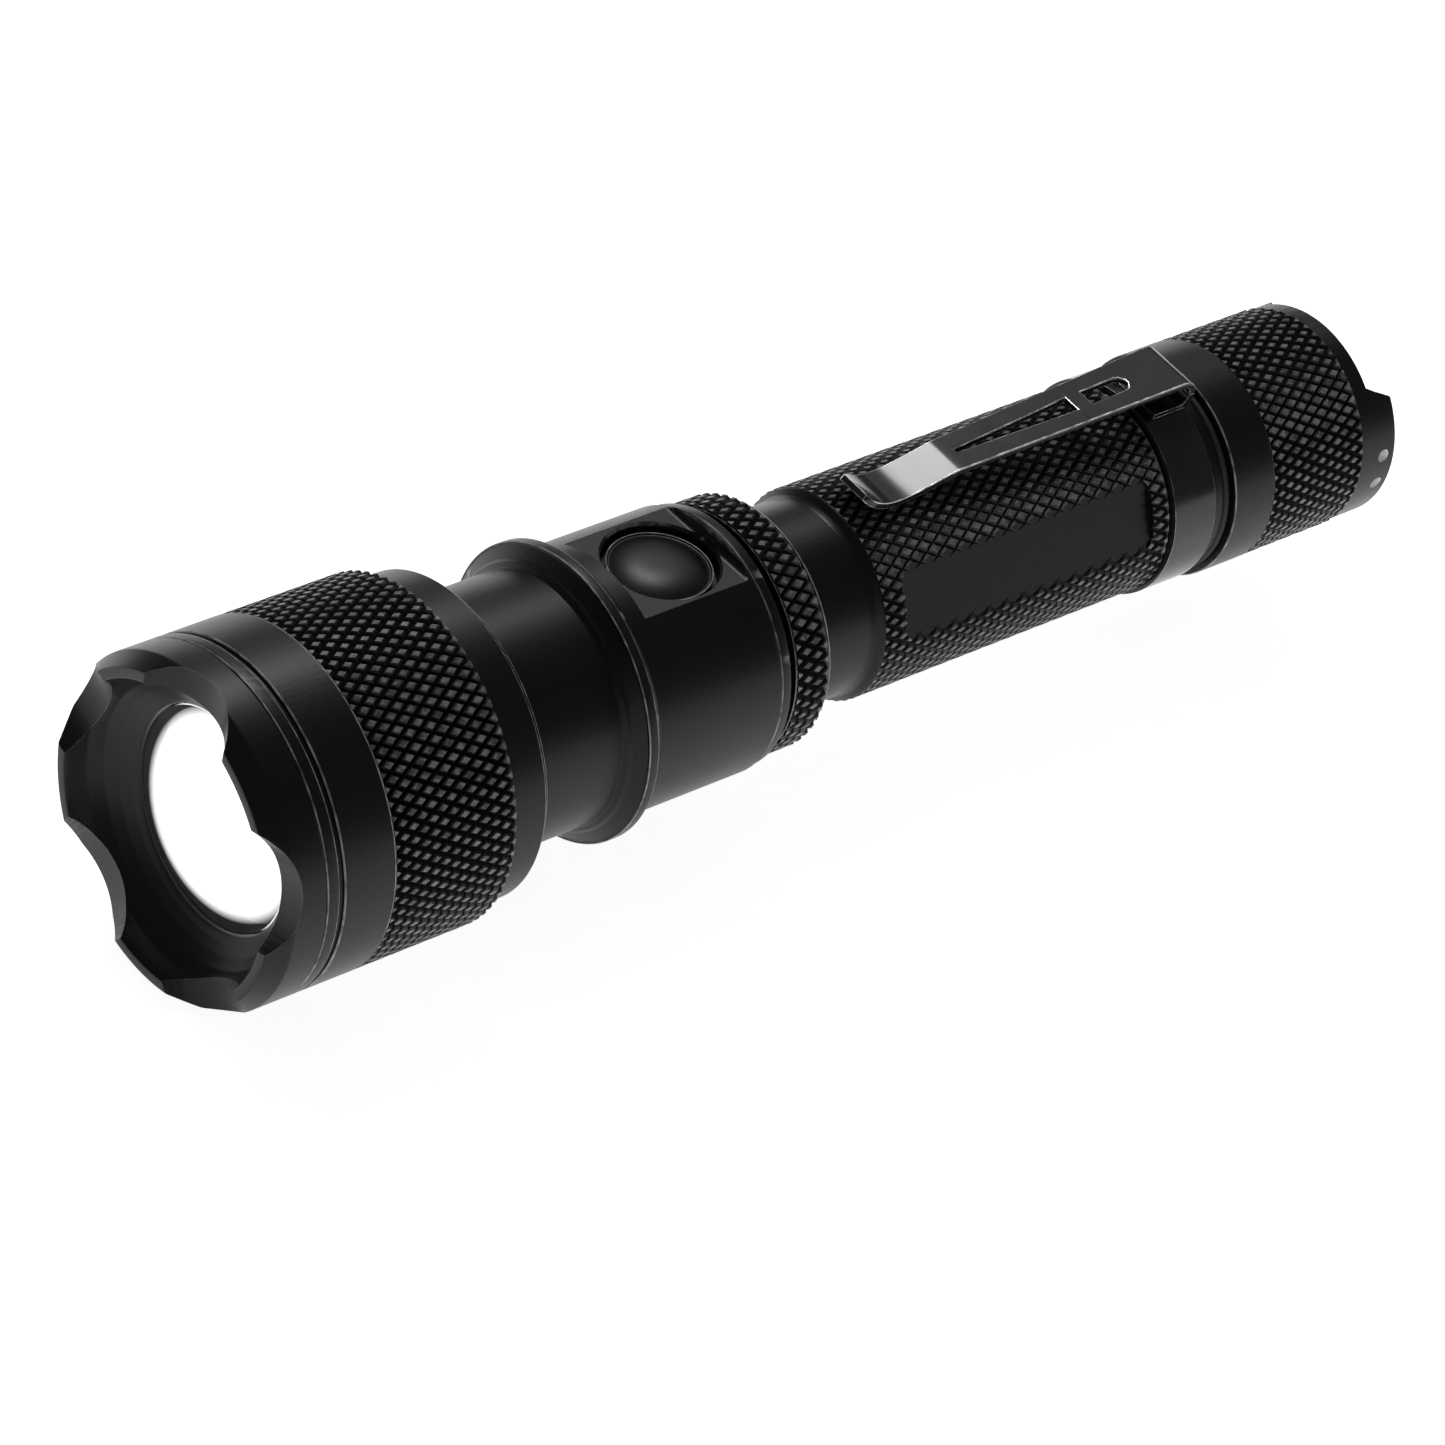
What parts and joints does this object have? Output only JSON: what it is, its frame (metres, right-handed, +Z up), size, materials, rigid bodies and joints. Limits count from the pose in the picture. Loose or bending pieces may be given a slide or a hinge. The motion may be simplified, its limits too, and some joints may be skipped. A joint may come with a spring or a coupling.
{
  "type": "flashlight",
  "caption": "Pocket flashlight with a twist-to-zoom scalloped head, side button, knurled battery tube, pocket clip and a screw tail cap with a push switch.",
  "frame": {"origin": "centre of the bounding box's base, under the light's axis, which is 20 mm above it", "axes": "+Y along the light's axis from the bezel to the tail, +Z up through the side button, +X to the right as seen from the tail"},
  "size_m": [0.04, 0.1686, 0.04],
  "materials": {
    "black_anodised": "satin",
    "bare_aluminium": "satin",
    "lens_glass": "polished",
    "black_rubber": "matt",
    "bush_plastic": "matt",
    "black_plastic": "matt",
    "clip_steel": "gloss",
    "brass_ring": "satin",
    "spring_steel": "satin",
    "circuit_board": "matt",
    "led_board_metal": "satin",
    "led_phosphor": "gloss",
    "red_wire": "matt",
    "black_wire": "matt",
    "cell_can": "satin",
    "cell_wrap": "gloss"
  },
  "bodies": {
    "housing": {"switch_housing": "black_anodised", "zoom_collar": "bare_aluminium", "zoom_o_ring": "black_rubber", "led_pill": "bare_aluminium", "led_board": "led_board_metal", "led": "led_phosphor", "led_wire_positive": "red_wire", "led_wire_negative": "black_wire", "button_seal": "black_rubber", "tactile_switch": "black_plastic", "switch_board": "circuit_board", "switch_carrier": "black_plastic", "driver_board": "circuit_board", "driver_inductor": "black_plastic", "front_spring": "spring_steel", "battery_tube": "black_anodised", "front_o_ring": "black_rubber", "battery_cell": "cell_can", "battery_sleeve": "cell_wrap", "tail_o_ring": "black_rubber"},
    "zoom_carriage": {"glide_bush": "bush_plastic"},
    "head": {"head_shell": "black_anodised", "bezel": "black_anodised", "lens": "lens_glass", "lens_o_ring": "black_rubber", "lens_retainer": "bare_aluminium", "head_rear_ring": "black_anodised"},
    "side_button": {"side_button": "black_anodised"},
    "clip_band": {"clip_band": "clip_steel"},
    "clip_arm": {"clip_arm": "clip_steel"},
    "cap_carriage": {"tail_spring": "spring_steel"},
    "tail_cap": {"tail_cap": "black_anodised", "tail_retaining_ring": "brass_ring", "tail_contact_board": "circuit_board", "tail_switch_module": "black_plastic", "boot_seal": "black_rubber"},
    "tail_button": {"tail_boot": "black_rubber", "tail_plunger": "bush_plastic"}
  },
  "joints": [
    {"name": "zoom_travel", "type": "slide", "parent": "housing", "child": "zoom_carriage", "axis": [0, 1, 0], "range_m": [0, 0.0113]},
    {"name": "zoom_turn", "type": "hinge", "parent": "zoom_carriage", "child": "head", "pos_m": [0, -0.06, 0.02], "axis": [0, 1, 0], "range_deg": [0, 270]},
    {"name": "side_press", "type": "slide", "parent": "housing", "child": "side_button", "axis": [0, 0, -1], "range_m": [0, 0.0007], "stiffness_N_per_m": 3000},
    {"name": "clip_swivel", "type": "hinge", "parent": "housing", "child": "clip_band", "pos_m": [0, 0.0521, 0.02], "axis": [0, 1, 0], "continuous": true},
    {"name": "clip_flex", "type": "hinge", "parent": "clip_band", "child": "clip_arm", "pos_m": [0.00075, 0.05585, 0.03428], "axis": [-0.9986, 0, 0.0523], "range_deg": [0, 2.5], "stiffness_Nm_per_rad": 11},
    {"name": "cap_travel", "type": "slide", "parent": "housing", "child": "cap_carriage", "axis": [0, 1, 0], "range_m": [0, 0.00901]},
    {"name": "cap_turn", "type": "hinge", "parent": "cap_carriage", "child": "tail_cap", "pos_m": [0, 0.07, 0.02], "axis": [0, 1, 0], "range_deg": [0, 2160]},
    {"name": "tail_press", "type": "slide", "parent": "tail_cap", "child": "tail_button", "axis": [0, -1, 0], "range_m": [0, 0.002], "stiffness_N_per_m": 1500}
  ],
  "couplings": [
    {"joint": "zoom_travel", "follows": "zoom_turn", "m_per_rad": 0.002387},
    {"joint": "cap_travel", "follows": "cap_turn", "m_per_rad": 0.00023873}
  ]
}
